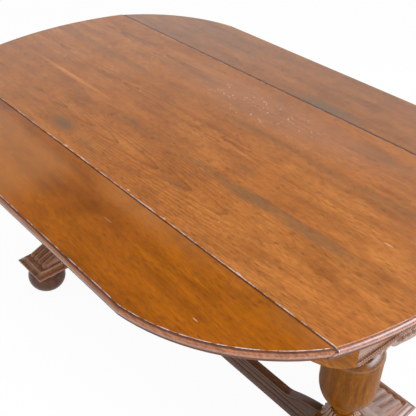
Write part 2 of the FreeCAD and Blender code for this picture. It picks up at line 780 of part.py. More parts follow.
def corners(name, north_east):
    north_west = mirrored(north_east, ALONG)
    return {
        name + "_ne": north_east,
        name + "_nw": north_west,
        name + "_se": mirrored(north_east, ACROSS),
        name + "_sw": mirrored(north_west, ACROSS),
    }


def group(solids):
    return Part.makeCompound(solids)


def build():
    plate_screws = hinge_screws(-PLATE_REACH / 2, SCREW_INSET - PLATE_REACH)
    flap_screws = hinge_screws((RULE_R + FLAP_REACH) / 2, FLAP_REACH - SCREW_INSET)
    plate_screws_all = plate_screws + [mirrored(screw, ACROSS) for screw in plate_screws]
    bearer_screws = bearer_screw_set()
    bearer_screws_all = bearer_screws + [mirrored(screw, ALONG) for screw in bearer_screws]
    nodes = {"main_top": main_top(plate_screws_all + bearer_screws_all)}
    nodes.update(sides("leaf", leaf_north(flap_screws)))
    nodes.update(sides("hinge_plates", group([hinge_plate(x).cut(plate_screws) for x in HINGE_XS])))
    nodes.update(sides("hinge_flaps", group([hinge_flap(x).cut(flap_screws) for x in HINGE_XS])))
    nodes.update(sides("hinge_pins", group([hinge_pin(x) for x in HINGE_XS])))
    nodes["hinge_screws_main"] = group(plate_screws_all)
    nodes.update(sides("hinge_screws_leaf", group(flap_screws)))
    nodes.update(ends("end_apron", end_apron()))
    nodes.update(sides("side_rail", side_rail()))
    nodes["corner_blocks"] = group(list(corners("block", corner_block()).values()))
    nodes.update(ends("bearer", bearer(bearer_screws)))
    nodes["bearer_screws"] = group(bearer_screws_all)
    nodes.update(corners("loper", loper()))
    nodes.update(corners("stop_peg", stop_peg()))
    nodes["loper_guides"] = group(list(corners("guide", loper_guide()).values()))
    nodes.update(ends("column", column()))
    nodes.update(ends("foot", foot()))
    nodes.update(corners("bun_foot", bun_foot()))
    nodes["stretcher"] = stretcher()
    return nodes


os.makedirs("parts", exist_ok=True)
for node_name, node_shape in build().items():
    node_shape.exportStep("parts/" + node_name + ".step")
    solids = node_shape.Solids
    volume = round(sum(solid.Volume for solid in solids))
    print(node_name, len(solids), "solids", volume, "mm3", node_shape.isValid())
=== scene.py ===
import bpy
import math
from mathutils import Euler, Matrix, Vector


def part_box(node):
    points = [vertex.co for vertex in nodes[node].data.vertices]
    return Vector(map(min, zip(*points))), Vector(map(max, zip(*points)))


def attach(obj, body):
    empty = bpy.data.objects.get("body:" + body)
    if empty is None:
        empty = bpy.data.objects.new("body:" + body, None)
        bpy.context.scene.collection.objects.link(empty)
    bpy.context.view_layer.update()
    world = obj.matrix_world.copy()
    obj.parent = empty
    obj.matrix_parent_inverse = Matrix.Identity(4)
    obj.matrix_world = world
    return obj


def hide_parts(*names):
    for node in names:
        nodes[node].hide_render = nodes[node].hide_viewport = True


# Polished oak drop-leaf table on two turned columns. All sizes are in metres.

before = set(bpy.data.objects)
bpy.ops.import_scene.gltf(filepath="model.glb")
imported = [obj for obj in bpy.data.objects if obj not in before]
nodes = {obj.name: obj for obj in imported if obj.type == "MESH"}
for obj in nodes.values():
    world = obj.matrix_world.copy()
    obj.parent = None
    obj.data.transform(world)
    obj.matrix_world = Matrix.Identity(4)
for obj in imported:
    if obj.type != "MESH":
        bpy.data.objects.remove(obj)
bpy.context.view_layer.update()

# Camera, at the photograph's viewing angle
CAMERA_PLACE = (0.9796, -0.8303, 1.4802)
CAMERA_TURN = (52.64, -0.27, 48.33)  # degrees
CAMERA_LENS = 57.44
CAMERA_SHIFT = (0.0004, 0.0015)

# Sizes of the frame
COLUMN_LOW, COLUMN_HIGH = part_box("column_east")
COLUMN_X = (COLUMN_LOW.x + COLUMN_HIGH.x) / 2
SURFACE_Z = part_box("main_top")[1].z
SEAM_Y = 0.262  # the panel's long edges
CUP_SHOULDER_Z = 0.434


def rgb(red, green, blue):
    return (red, green, blue, 1.0)


# Shader nodes

class Nodes:
    """Short calls that add nodes to one tree."""

    def __init__(self, tree):
        self.tree = tree

    def put(self, node, socket, value):
        """Sets a socket, or links it where the value is a socket itself."""
        if isinstance(value, bpy.types.NodeSocket):
            self.tree.links.new(value, node.inputs[socket])
        else:
            node.inputs[socket].default_value = value

    def node(self, kind, sockets=(), **settings):
        made = self.tree.nodes.new("ShaderNode" + kind)
        for name, value in settings.items():
            setattr(made, name, value)
        for socket, value in dict(sockets).items():
            self.put(made, socket, value)
        return made

    def math(self, operation, first, second=0.0):
        return self.node("Math", {0: first, 1: second}, operation=operation).outputs[0]

    def product(self, first, *others):
        for other in others:
            first = self.math("MULTIPLY", first, other)
        return first

    def spread(self, value, low, high, to_low=0.0, to_high=1.0, smooth=False):
        """Maps a value from one span to another, held at the ends."""
        kind = "SMOOTHSTEP" if smooth else "LINEAR"
        sockets = {0: value, 1: low, 2: high, 3: to_low, 4: to_high}
        return self.node("MapRange", sockets, interpolation_type=kind).outputs[0]

    def noise(self, place, scale, detail=2.0, roughness=0.5):
        sockets = {"Vector": place, "Scale": scale, "Detail": detail, "Roughness": roughness}
        return self.node("TexNoise", sockets).outputs["Fac"]

    def blend(self, amount, first, second):
        """Mixes two colours."""
        return self.node("Mix", {0: amount, 6: first, 7: second}, data_type="RGBA").outputs[2]

    def between(self, amount, first, second):
        """Mixes two numbers."""
        return self.node("Mix", {0: amount, 2: first, 3: second}, data_type="FLOAT").outputs[0]

    def stretched(self, place, scale):
        return self.node("VectorMath", {0: place, 1: scale}, operation="MULTIPLY").outputs[0]

    def dot(self, first, second):
        return self.node("VectorMath", {0: first, 1: second}, operation="DOT_PRODUCT").outputs["Value"]

    def parts(self, vector):
        return tuple(self.node("SeparateXYZ", {0: vector}).outputs)

    def bump(self, height, strength):
        sockets = {"Strength": strength, "Distance": BUMP_DEPTH, "Height": height}
        return self.node("Bump", sockets).outputs[0]


class Finish(Nodes):
    """One material, its shader and its nodes."""

    def __init__(self, name):
        self.material = bpy.data.materials.new(name)
        self.material.use_nodes = True
        super().__init__(self.material.node_tree)
        self.shader = self.tree.nodes["Principled BSDF"]

    def finish(self, **sockets):
        for name, value in sockets.items():
            self.put(self.shader, name.replace("_", " "), value)
        return self.material


# Colours of old polish, worn marks and dirt, and of painted sheen, painted highlights and painted shade
PORE = rgb(0.070, 0.022, 0.006)
SMOKE = rgb(0.14, 0.076, 0.034)  # old polish beside a glue line
GLOW = rgb(0.60, 0.225, 0.045)  # a pale streak
PAINTED_PINK_SHEEN = rgb(0.29, 0.134, 0.075)  # painted pinkish sheen of reflected light on the far part of the panel
DUST_WHITE = rgb(0.85, 0.74, 0.62)
KNOCK = rgb(0.72, 0.52, 0.36)
PAINTED_SHEEN = rgb(0.46, 0.215, 0.075)  # painted sheen: reflected light painted paler beside a seam
PAINTED_HIGHLIGHT = rgb(0.50, 0.42, 0.42)  # painted highlight on worn arrises and the panel's lip
SHADE_AND_DIRT = rgb(0.045, 0.021, 0.018)  # painted shade in the quirks and the seams, with dirt in the seams
EDGE_OAK = rgb(0.33, 0.128, 0.058)
EDGE_DARK = rgb(0.085, 0.030, 0.016)

# Varnish and grain relief
COAT_IOR = 1.8
TOP_COAT_ROUGHNESS = 0.10
LEG_COAT_ROUGHNESS = 0.14
TOP_SHINE = 0.35
WHOLE_VARNISH = 0.9
BUMP_DEPTH = 0.0004
TOP_BUMP = 0.18
LEG_BUMP = 0.22
PORE_ROUGHNESS = 0.10

# Oak boards of the top
BOARD_JOINTS = (-0.080, 0.094)  # glue lines of the middle panel, across
BOARD_MIDDLES = (-0.170, 0.006, 0.180)
LEAF_MIDDLES = (0.9,)  # far off, so that a leaf's lines run straight
RING_PITCH = 0.0060  # first board
FINE_PITCH = 0.0040  # the others
RING_WANDER = 0.016
RING_RIPPLE = 0.006
RING_SHARPNESS = 5.0
FIRST_HEART = (0.0226, 0.055)  # depth of the tree's heart under the first board, and its tilt
NEXT_HEART_DEPTH = 0.03
NEXT_HEART_STEP = 0.02
NEXT_HEART_TILT = -0.012
SMOKE_WIDTH = 0.045

# Streaks: width, length, detail
TOP_FINE = (0.0040, 0.07, 2.0)
TOP_BROAD = (0.030, 0.22, 3.0)
RIPPLE_STREAKS = (0.03, 0.16, 2.0)
SMOKE_STREAKS = (0.05, 0.16, 3.0)
LEG_FINE = (0.0022, 0.05, 2.0)
LEG_BROAD = (0.012, 0.12, 3.0)
STREAK_ROUGHNESS = 0.55

# Pores: width, length
TOP_PORES = (0.0011, 0.016)
LEG_PORES = (0.0012, 0.012)
PORE_NOISE = (1.0, 1.0, 0.4)

# Noises: scale, detail, roughness
DRIFT_NOISE = (2.3, 2.0)
CLOUD_NOISE = (9.0, 4.0, 0.6)
MOTTLE_NOISE = (26.0, 3.0, 0.6)
MOTTLE_STRETCH = (0.55, 1.0, 1.0)
WORN_HIGHLIGHT_NOISE = (60.0, 3.0, 0.7)
TARNISH_NOISE = (60.0, 4.0, 0.6)

# Spans of a noise or a place and the shares at their two ends, 0 and 1 where none are given
PORE_SPAN = (0.50, 0.64)
RING_PORES = (0.0, 0.8, 1.0, 0.5)
BROAD_TONES = (0.20, 0.62)
CLOUD_TONES = (0.35, 0.62, 0.0, 0.8)
MOTTLE_TONES = (0.46, 0.66, 0.0, 0.32)
FINE_TONES = (0.44, 0.64, 0.0, 0.22)
SMOKE_PATCHES = (0.40, 0.62)
MARK_PATCHES = (0.30, 0.60, 0.55, 1.0)
WORN_HIGHLIGHT_PATCHES = (0.42, 0.60)
EAST_END_FADE = (0.15, 0.40, 1.0, 0.45)  # rings fade along the top
TOP_ROUGHNESS = (0.3, 0.7, 0.20, 0.28)
LEG_TONES = (0.32, 0.68)
LEG_LINES = (0.45, 0.65, 0.0, 0.45)
LEG_ROUGHNESS = (0.3, 0.7)
TARNISH_TONES = (0.35, 0.7)
TARNISH_ROUGHNESS = (0.3, 0.7)

# How far a colour covers what lies under it
PORE_SHADE = 0.75
LEG_PORE_SHADE = 0.50
SMOKE_SHADE = 0.55
KNOCK_SHADE = 0.8
QUIRK_SHADE = 0.75
# Share of the painted highlight on the panel's lip
LIP_HIGHLIGHT_SHARE = 0.8
# Share of the painted shade with dirt in the seam
SEAM_SHADE_SHARE = 0.9

# Relief of streaks and knocks, against a pore's
TOP_FINE_RELIEF = 0.3
LEG_FINE_RELIEF = 0.4
KNOCK_RELIEF = 0.5

# Moulded edge, by depth under the surface
ARRIS = 0.0019  # the worn corner, where a highlight is painted
ARRIS_FACING = (0.90, 0.97)
EDGE_STREAKS = (0.35, 0.65, 0.0, 0.6)
EDGE_STARTS = (0.0018, 0.0021)
EDGE_SMOOTH = (0.0018, 0.0024, 0.0, 0.08)
EDGE_VARNISH = (0.0018, 0.0024)
QUIRK = (0.0030, 0.0038)
FOOT_BARE = (0.0075, 0.0100, 1.0, 0.1)
# Painted shade: the edge painted darker towards its foot
EDGE_FOOT_SHADE = (0.0105, 0.0145, 0.0, 0.85)
FOOT_DULL = (0.010, 0.014, 0.0, 0.43)

# Seams between panel and leaves, by the distance from the seam
# Painted highlight on the panel's lip
LIP_STARTS = (-0.0016, -0.0011)
LIP_END = 0.0005
LIP_FACING = 0.4
# Painted shade with dirt in the seam
SEAM_SHADE_START = 0.0003
SEAM_SHADE_FADE = 0.65  # share of the seam's width at which its painted shade and dirt fade
# Painted sheen: reflected light painted as a paler colour beside the seam and on the leaf's west end
SHEEN_FACING = 0.9
SHEEN_ACROSS = (0.004, 0.060)
SHEEN_CLOUDS = (0.30, 0.60)
SHEEN_START = (-0.02, 0.14)  # along
SHEEN_THINS = (0.05, 0.45, 1.0, 0.35)  # along
WEST_SHEEN = (-0.06, 0.07)  # along
WEST_SHEEN_ACROSS = (0.010, 0.045, 0.0, 0.68)

# Small knocks and dust: cells to a metre, and the span of their sizes
KNOCK_CELLS = 30.0
KNOCK_SIZES = (0.86, 1.0, 0.0, 0.048)
DUST_CELLS = 140.0
DUST_SIZES = (0.30, 1.0, 0.0, 0.22)

# Worn marks, stains and a painted sheen: along, across, half length, half width, strength
STAINS = (
    (-0.190, -0.214, 0.066, 0.029, 0.90),
    (-0.080, -0.222, 0.040, 0.016, 0.45),
    (0.151, -0.174, 0.045, 0.016, 0.45),
    (0.275, -0.098, 0.120, 0.026, 0.65),
    (0.420, -0.100, 0.120, 0.020, 0.40),
    (0.207, -0.040, 0.050, 0.014, 0.40),
    (0.375, 0.200, 0.110, 0.026, 0.60),
    (0.145, 0.284, 0.150, 0.028, 1.0),
    (0.140, 0.270, 0.160, 0.014, 1.0),
)
PALE_STREAKS = ((-0.400, -0.071, 0.260, 0.009, 0.60),)
PINK_SHEEN_PATCH = ((0.080, 0.175, 0.480, 0.105, 0.48),)
DUST = ((0.055, 0.160, 0.240, 0.080, 0.80),)
SCRATCHES = (
    (0.539, -0.016, 0.011, 0.0012, 0.70),
    (0.449, -0.379, 0.007, 0.0012, 0.50),
    (0.160, -0.338, 0.016, 0.0009, 0.35),
    (-0.104, -0.259, 0.007, 0.0022, 0.70),
    (-0.041, -0.2605, 0.012, 0.0018, 0.60),
    (0.112, -0.2565, 0.005, 0.0022, 0.55),
    (0.183, -0.2602, 0.009, 0.0015, 0.50),
    (0.226, -0.2598, 0.005, 0.0016, 0.55),
    (0.420, -0.260, 0.008, 0.0018, 0.60),
)

# Share of a mark's size that has its full strength
STAIN_CORE = 0.1
PINK_SHEEN_CORE = 0.2
DUST_CORE = 0.4
SCRATCH_CORE = 0.6


def pores(oak, place, width, length):
    """Short dark ticks along the grain, 0 to 1."""
    ticks = oak.noise(oak.stretched(place, (1 / length, 1 / width, 1 / width)), *PORE_NOISE)
    return oak.spread(ticks, *PORE_SPAN)


def streaks(oak, place, width, length, detail):
    """Long soft lines along the grain."""
    grain = oak.stretched(place, (1 / length, 1 / width, 1 / width))
    return oak.noise(grain, 1.0, detail, STREAK_ROUGHNESS)


def spots(oak, place, cells, sizes):
    """Round spots scattered over the flat, of sizes that leave many cells empty."""
    flat = oak.stretched(place, (1.0, 1.0, 0.0))
    cell = oak.node("TexVoronoi", {"Vector": flat, "Scale": cells, "Randomness": 1.0})
    chosen = oak.node("SeparateColor", {0: cell.outputs["Color"]}).outputs[0]
    return oak.math("LESS_THAN", cell.outputs["Distance"], oak.spread(chosen, *sizes))


def rings_of(oak, place, board_middle, depth, tilt, pitch):
    """Growth rings of a board sawn off the heart: flames along its middle, lines at its sides."""
    along, across, _ = oak.parts(place)
    drift = oak.product(oak.math("SUBTRACT", oak.noise(place, *DRIFT_NOISE), 0.5), RING_WANDER)
    side = oak.math("ADD", oak.math("SUBTRACT", across, board_middle), drift)
    ripple = oak.product(streaks(oak, place, *RIPPLE_STREAKS), RING_RIPPLE)
    deep = oak.math("ADD", oak.math("ADD", oak.product(along, tilt), depth), ripple)
    squares = oak.math("ADD", oak.product(side, side), oak.product(deep, deep))
    return oak.math("FRACT", oak.math("DIVIDE", oak.math("SQRT", squares), pitch))


class TopOak(Finish):
    """Finish of the polished top, with the places and noises that its layers share."""

    def __init__(self, name, grain_turn, span):
        super().__init__(name)
        self.span = span  # only the marks within it, across, are put on
        coords = self.node("TexCoord")
        self.where = coords.outputs["Object"]
        turn = (0, 0, math.radians(grain_turn))
        self.place = self.node("Mapping", {"Vector": self.where, "Rotation": turn}).outputs[0]
        self.along, self.across, _ = self.parts(self.place)
        _, side, height = self.parts(self.where)
        self.facing = self.parts(coords.outputs["Normal"])[2]
        self.depth = self.math("SUBTRACT", SURFACE_Z, height)
        self.from_seam = self.math("SUBTRACT", self.math("ABSOLUTE", side), SEAM_Y)
        self.fine = streaks(self, self.place, *TOP_FINE)
        self.broad = streaks(self, self.place, *TOP_BROAD)
        self.cloud = self.noise(self.place, *CLOUD_NOISE)
        # Breaks up the painted highlights on the worn arrises and the lip
        self.worn_highlight = self.spread(self.noise(self.place, *WORN_HIGHLIGHT_NOISE), *WORN_HIGHLIGHT_PATCHES)

    def marks(self, listed, core):
        """Soft-edged long spots at the listed places that lie on this board, 0 to 1."""
        found = 0.0
        for along, across, half_length, half_width, strength in listed:
            if not self.span[0] < across < self.span[1]:
                continue
            middle = (along, across, 0)
            offset = self.node("VectorMath", {0: self.where, 1: middle}, operation="SUBTRACT").outputs[0]
            offset = self.stretched(offset, (1 / half_length, 1 / half_width, 0))
            reach = self.node("VectorMath", {0: offset}, operation="LENGTH").outputs["Value"]
            spot = self.spread(reach, core, 1.0, strength, 0.0, smooth=True)
            found = self.math("MAXIMUM", spot, found)
        return found

    def rings_and_smoke(self, joints, middles):
        """Rings of boards that lie side by side, and the darker polish before each glue line."""
        ring = rings_of(self, self.place, middles[0], *FIRST_HEART, RING_PITCH)
        smoke = 0.0
        for number, joint in enumerate(joints):
            past = self.math("GREATER_THAN", self.across, joint)
            heart = NEXT_HEART_DEPTH + NEXT_HEART_STEP * number
            other = rings_of(self, self.place, middles[number + 1], heart, NEXT_HEART_TILT, FINE_PITCH)
            ring = self.between(past, ring, other)
            near = self.spread(self.across, joint - SMOKE_WIDTH, joint, smooth=True)
            before = self.math("SUBTRACT", 1.0, past)
            patches = self.spread(streaks(self, self.place, *SMOKE_STREAKS), *SMOKE_PATCHES)
            smoke = self.math("MAXIMUM", self.product(near, before, patches), smoke)
        return ring, smoke

    def grained(self, pale, mid, dark, joints, middles, figure):
        """Boards with flames, streaks and pores: their colour and the pores."""
        ring, smoke = self.rings_and_smoke(joints, middles)
        late = self.math("POWER", ring, RING_SHARPNESS)
        late = self.product(late, self.spread(self.along, *EAST_END_FADE))
        early = self.product(pores(self, self.place, *TOP_PORES), self.spread(ring, *RING_PORES))
        mottle = self.noise(self.stretched(self.place, MOTTLE_STRETCH), *MOTTLE_NOISE)
        tone = self.blend(self.spread(self.broad, *BROAD_TONES), dark, pale)
        tone = self.blend(self.spread(self.cloud, *CLOUD_TONES), tone, mid)
        tone = self.blend(self.product(late, figure), tone, dark)
        tone = self.blend(self.spread(mottle, *MOTTLE_TONES), tone, dark)
        tone = self.blend(self.spread(self.fine, *FINE_TONES), tone, dark)
        if joints:
            tone = self.blend(self.product(smoke, SMOKE_SHADE), tone, SMOKE)
        return self.blend(self.product(early, PORE_SHADE), tone, PORE), early

    def marked(self, tone):
        """Stains, streaks, a painted pinkish sheen, dust and knocks: the colour with them, and the knocks."""
        patchy = self.spread(self.broad, *MARK_PATCHES)
        tone = self.blend(self.product(self.marks(PALE_STREAKS, STAIN_CORE), patchy), tone, GLOW)
        tone = self.blend(self.product(self.marks(STAINS, STAIN_CORE), patchy), tone, SMOKE)
        # Painted pinkish sheen of reflected light on the far part of the panel
        tone = self.blend(self.marks(PINK_SHEEN_PATCH, PINK_SHEEN_CORE), tone, PAINTED_PINK_SHEEN)
        dust = spots(self, self.where, DUST_CELLS, DUST_SIZES)
        tone = self.blend(self.product(dust, self.marks(DUST, DUST_CORE)), tone, DUST_WHITE)
        knocks = spots(self, self.place, KNOCK_CELLS, KNOCK_SIZES)
        knocks = self.math("MAXIMUM", knocks, self.marks(SCRATCHES, SCRATCH_CORE))
        return self.blend(self.product(knocks, KNOCK_SHADE), tone, KNOCK), knocks

    def edged(self, tone, painted_edge_light):
        """Dark moulded edge, painted darker towards its foot, with a painted shadow in its quirk, below a
        worn arris with a painted highlight.
        """
        edge = self.blend(self.spread(self.fine, *EDGE_STREAKS), EDGE_OAK, EDGE_DARK)
        # Painted shade towards the foot of the edge
        edge = self.blend(self.spread(self.depth, *EDGE_FOOT_SHADE), edge, EDGE_DARK)
        # Painted shadow in the quirk under the arris
        quirk = self.spread(self.depth, *QUIRK, QUIRK_SHADE * painted_edge_light, 0.0, smooth=True)
        edge = self.blend(quirk, edge, SHADE_AND_DIRT)
        tone = self.blend(self.spread(self.depth, *EDGE_STARTS), tone, edge)
        # Painted highlight on the worn arris
        arris = self.math("LESS_THAN", self.depth, ARRIS)
        arris = self.product(arris, self.spread(self.facing, *ARRIS_FACING, painted_edge_light, 0.0))
        return self.blend(self.product(arris, self.worn_highlight), tone, PAINTED_HIGHLIGHT)

    def seamed(self, tone, sheen, seam):
        """Painted sheen beside the seam and on the leaf's west end, a painted highlight on the panel's worn
        lip, and painted shade with dirt in the seam.
        """
        # Painted sheen of reflected light beside the seam and on the leaf's west end
        beside = self.product(
            self.spread(self.from_seam, *SHEEN_ACROSS, sheen, 0.0, smooth=True),
            self.spread(self.cloud, *SHEEN_CLOUDS),
            self.spread(self.along, *SHEEN_START),
            self.spread(self.along, *SHEEN_THINS),
        )
        west = self.product(
            self.spread(self.along, *WEST_SHEEN, sheen, 0.0, smooth=True),
            self.spread(self.from_seam, *WEST_SHEEN_ACROSS),
        )
        sheen_mask = self.product(
            self.math("MAXIMUM", beside, west),
            self.math("GREATER_THAN", self.facing, SHEEN_FACING),
            self.math("GREATER_THAN", self.from_seam, 0.0),
        )
        tone = self.blend(sheen_mask, tone, PAINTED_SHEEN)
        # Painted highlight on the panel's worn lip by the seam
        lip = self.product(
            self.spread(self.from_seam, *LIP_STARTS),
            self.math("LESS_THAN", self.from_seam, LIP_END),
            self.math("GREATER_THAN", self.facing, LIP_FACING),
        )
        tone = self.blend(self.product(lip, self.worn_highlight, LIP_HIGHLIGHT_SHARE), tone, PAINTED_HIGHLIGHT)
        # Painted shade with dirt in the seam
        seam_shade = self.product(
            self.math("GREATER_THAN", self.from_seam, SEAM_SHADE_START),
            self.spread(self.from_seam, SEAM_SHADE_FADE * seam, seam, 1.0, 0.0),
        )
        return self.blend(self.product(seam_shade, SEAM_SHADE_SHARE), tone, SHADE_AND_DIRT)

    def polished(self, tone, early, knocks, coat):
        """The material: roughness and relief of the grain under a varnish that is whole on the edge."""
        rough = self.math("ADD", self.spread(self.cloud, *TOP_ROUGHNESS), self.product(early, PORE_ROUGHNESS))
        rough = self.math("SUBTRACT", rough, self.spread(self.depth, *EDGE_SMOOTH))
        rough = self.math("ADD", rough, self.spread(self.depth, *FOOT_DULL))
        dents = self.math("ADD", early, self.product(knocks, KNOCK_RELIEF))
        relief = self.math("SUBTRACT", self.product(self.fine, TOP_FINE_RELIEF), dents)
        varnish = self.spread(self.depth, *EDGE_VARNISH, coat, 1.0)
        return self.finish(
            Base_Color=tone,
            Roughness=rough,
            Normal=self.bump(relief, TOP_BUMP),
            Specular_IOR_Level=TOP_SHINE,
            Coat_Weight=self.product(varnish, self.spread(self.depth, *FOOT_BARE)),
            Coat_Roughness=TOP_COAT_ROUGHNESS,
            Coat_IOR=COAT_IOR,
        )


def flat_oak(name, pale, mid, dark, joints, middles, grain_turn, figure, coat, painted_edge_light, sheen, seam, span):
    """Polished top: boards with flames, streaks, pores and knocks, dark moulded edges with painted shade,
    painted highlights on worn arrises, painted sheen beside the seams.
    """
    oak = TopOak(name, grain_turn, span)
    tone, early = oak.grained(pale, mid, dark, joints, middles, figure)
    tone, knocks = oak.marked(tone)
    tone = oak.edged(tone, painted_edge_light)
    tone = oak.seamed(tone, sheen, seam)
    return oak.polished(tone, early, knocks, coat)


# Whole varnish on the cup's shoulder: where it rises and where it ends, from the shoulder's height
SHOULDER_RISE = (-0.008, 0.004)
SHOULDER_END = (0.014, 0.020)
GRAIN_TURNS = {"X": (0, 0, 0), "Y": (0, 0, -math.pi / 2), "Z": (0, math.pi / 2, 0)}
LEAST_ROUGH = -0.04  # against the gloss given
MOST_ROUGH = 0.08


def turned_oak(name, axis, pale, dark, recess, gloss, shine, varnish, shoulder=None):
    """Polished dark oak for legs, feet and rails; round a shoulder its varnish is kept whole."""
    oak = Finish(name)
    where = oak.node("TexCoord").outputs["Object"]
    place = oak.node("Mapping", {"Vector": where, "Rotation": GRAIN_TURNS[axis]}).outputs[0]
    broad = streaks(oak, place, *LEG_BROAD)
    fine = streaks(oak, place, *LEG_FINE)
    ticks = pores(oak, place, *LEG_PORES)
    tone = oak.blend(oak.spread(broad, *LEG_TONES), dark, pale)
    tone = oak.blend(oak.spread(fine, *LEG_LINES), tone, dark)
    tone = oak.blend(oak.product(ticks, LEG_PORE_SHADE), tone, recess)
    rough = oak.spread(broad, *LEG_ROUGHNESS, gloss + LEAST_ROUGH, gloss + MOST_ROUGH)
    rough = oak.math("ADD", rough, oak.product(ticks, PORE_ROUGHNESS))
    relief = oak.math("SUBTRACT", oak.product(fine, LEG_FINE_RELIEF), ticks)
    if shoulder is not None:
        height = oak.parts(where)[2]
        rise = oak.spread(height, *(shoulder + step for step in SHOULDER_RISE))
        end = oak.spread(height, *(shoulder + step for step in SHOULDER_END), 1.0, 0.0)
        varnish = oak.spread(oak.product(rise, end), 0.0, 1.0, varnish, WHOLE_VARNISH)
    return oak.finish(
        Base_Color=tone,
        Roughness=rough,
        Normal=oak.bump(relief, LEG_BUMP),
        Specular_IOR_Level=shine,
        Coat_Weight=varnish,
        Coat_Roughness=LEG_COAT_ROUGHNESS,
        Coat_IOR=COAT_IOR,
    )


def plain_metal(name, bright, sheen_mask, least_rough, most_rough):
    metal = Finish(name)
    tarnish = metal.noise(metal.node("TexCoord").outputs["Object"], *TARNISH_NOISE)
    tone = metal.blend(metal.spread(tarnish, *TARNISH_TONES), bright, sheen_mask)
    rough = metal.spread(tarnish, *TARNISH_ROUGHNESS, least_rough, most_rough)
    return metal.finish(Base_Color=tone, Roughness=rough, Metallic=1.0)


# Finishes

PANEL_OAK = flat_oak(
    "panel_oak",
    pale=rgb(0.475, 0.172, 0.037),
    mid=rgb(0.40, 0.128, 0.022),
    dark=rgb(0.17, 0.050, 0.010),
    joints=BOARD_JOINTS,
    middles=BOARD_MIDDLES,
    grain_turn=0.0,
    figure=0.90,
    coat=0.23,
    painted_edge_light=0.25,
    sheen=0.0,
    seam=0.0040,
    span=(-SEAM_Y, SEAM_Y),
)
LEAF_OAK = flat_oak(
    "leaf_oak",
    pale=rgb(0.365, 0.102, 0.0),
    mid=rgb(0.31, 0.079, 0.0),
    dark=rgb(0.105, 0.025, 0.0),
    joints=(),
    middles=LEAF_MIDDLES,
    grain_turn=3.8,
    figure=0.30,
    coat=0.49,
    painted_edge_light=1.0,
    sheen=0.38,
    seam=0.0040,
    span=(-1.0, -SEAM_Y),
)
FAR_LEAF_OAK = flat_oak(
    "far_leaf_oak",
    pale=rgb(0.36, 0.125, 0.022),
    mid=rgb(0.305, 0.098, 0.018),
    dark=rgb(0.11, 0.034, 0.006),
    joints=(),
    middles=LEAF_MIDDLES,
    grain_turn=0.0,
    figure=0.30,
    coat=0.43,
    painted_edge_light=1.0,
    sheen=0.0,
    seam=0.0070,
    span=(SEAM_Y, 1.0),
)
COLUMN_OAK = turned_oak(
    "column_oak",
    axis="Z",
    pale=rgb(0.255, 0.083, 0.002),
    dark=rgb(0.130, 0.039, 0.002),
    recess=rgb(0.045, 0.014, 0.002),
    gloss=0.30,
    shine=0.04,
    varnish=0.04,
    shoulder=CUP_SHOULDER_Z,
)
STRETCHER_OAK = turned_oak(
    "stretcher_oak",
    axis="X",
    pale=rgb(0.15, 0.062, 0.026),
    dark=rgb(0.080, 0.032, 0.014),
    recess=rgb(0.03, 0.012, 0.006),
    gloss=0.30,
    shine=0.05,
    varnish=0.35,
)
FOOT_OAK = turned_oak(
    "foot_oak",
    axis="Y",
    pale=rgb(0.34, 0.142, 0.062),
    dark=rgb(0.19, 0.073, 0.031),
    recess=rgb(0.08, 0.032, 0.017),
    gloss=0.24,
    shine=0.1,
    varnish=0.90,
)
BUN_OAK = turned_oak(
    "bun_oak",
    axis="Z",
    pale=rgb(0.14, 0.044, 0.012),
    dark=rgb(0.070, 0.021, 0.006),
    recess=rgb(0.03, 0.010, 0.004),
    gloss=0.20,
    shine=0.10,
    varnish=0.40,
)
APRON_OAK = turned_oak(
    "apron_oak",
    axis="Y",
    pale=rgb(0.27, 0.101, 0.033),
    dark=rgb(0.145, 0.052, 0.016),
    recess=rgb(0.05, 0.019, 0.008),
    gloss=0.24,
    shine=0.1,
    varnish=0.65,
)
# Paler than the rest of the oak: painted light standing in for the light that the rails' swept ends lack
# under the top
BRIGHTENED_RAIL_OAK = turned_oak(
    "brightened_rail_oak",
    axis="X",
    pale=rgb(0.50, 0.168, 0.013),
    dark=rgb(0.31, 0.098, 0.008),
    recess=rgb(0.06, 0.020, 0.004),
    gloss=0.36,
    shine=0.05,
    varnish=0.06,
)
PLAIN_OAK = turned_oak(
    "plain_oak",
    axis="Y",
    pale=rgb(0.36, 0.21, 0.10),
    dark=rgb(0.26, 0.145, 0.066),
    recess=rgb(0.13, 0.07, 0.03),
    gloss=0.62,
    shine=0.4,
    varnish=0.0,
)
BRASS = plain_metal("hinge_brass", rgb(0.58, 0.42, 0.18), rgb(0.30, 0.21, 0.09), 0.35, 0.55)
STEEL = plain_metal("screw_steel", rgb(0.42, 0.41, 0.39), rgb(0.22, 0.20, 0.18), 0.40, 0.60)

FINISH_BY_NAME = {
    "main_top": PANEL_OAK,
    "leaf_south": LEAF_OAK,
    "leaf_north": FAR_LEAF_OAK,
    "hinge_plates": BRASS,
    "hinge_flaps": BRASS,
    "hinge_pins": BRASS,
    "hinge_screws": STEEL,
    "end_apron": APRON_OAK,
    "side_rail": BRIGHTENED_RAIL_OAK,
    "corner_blocks": PLAIN_OAK,
    "bearer_screws": STEEL,
    "bearer": PLAIN_OAK,
    "loper": PLAIN_OAK,
    "stop_peg": PLAIN_OAK,
    "column": COLUMN_OAK,
    "foot": FOOT_OAK,
    "bun_foot": BUN_OAK,
    "stretcher": STRETCHER_OAK,
}


def finish_for(name):
    """Finish of a piece, by the longest name that its own begins with."""
    fitting = [key for key in FINISH_BY_NAME if name.startswith(key)]
    return FINISH_BY_NAME[max(fitting, key=len)]


def dress(piece, material):
    piece.data.materials.clear()
    piece.data.materials.append(material)


for node_name, node in nodes.items():
    dress(node, finish_for(node_name))


# Carved pieces: built on the east end, copied to the west

SMOOTH_BELOW = math.radians(50)  # corners flatter than this are shaded smooth
FACE_BOW_R = 2.46  # the apron's bowed face, in plan
FACE_X = 0.646

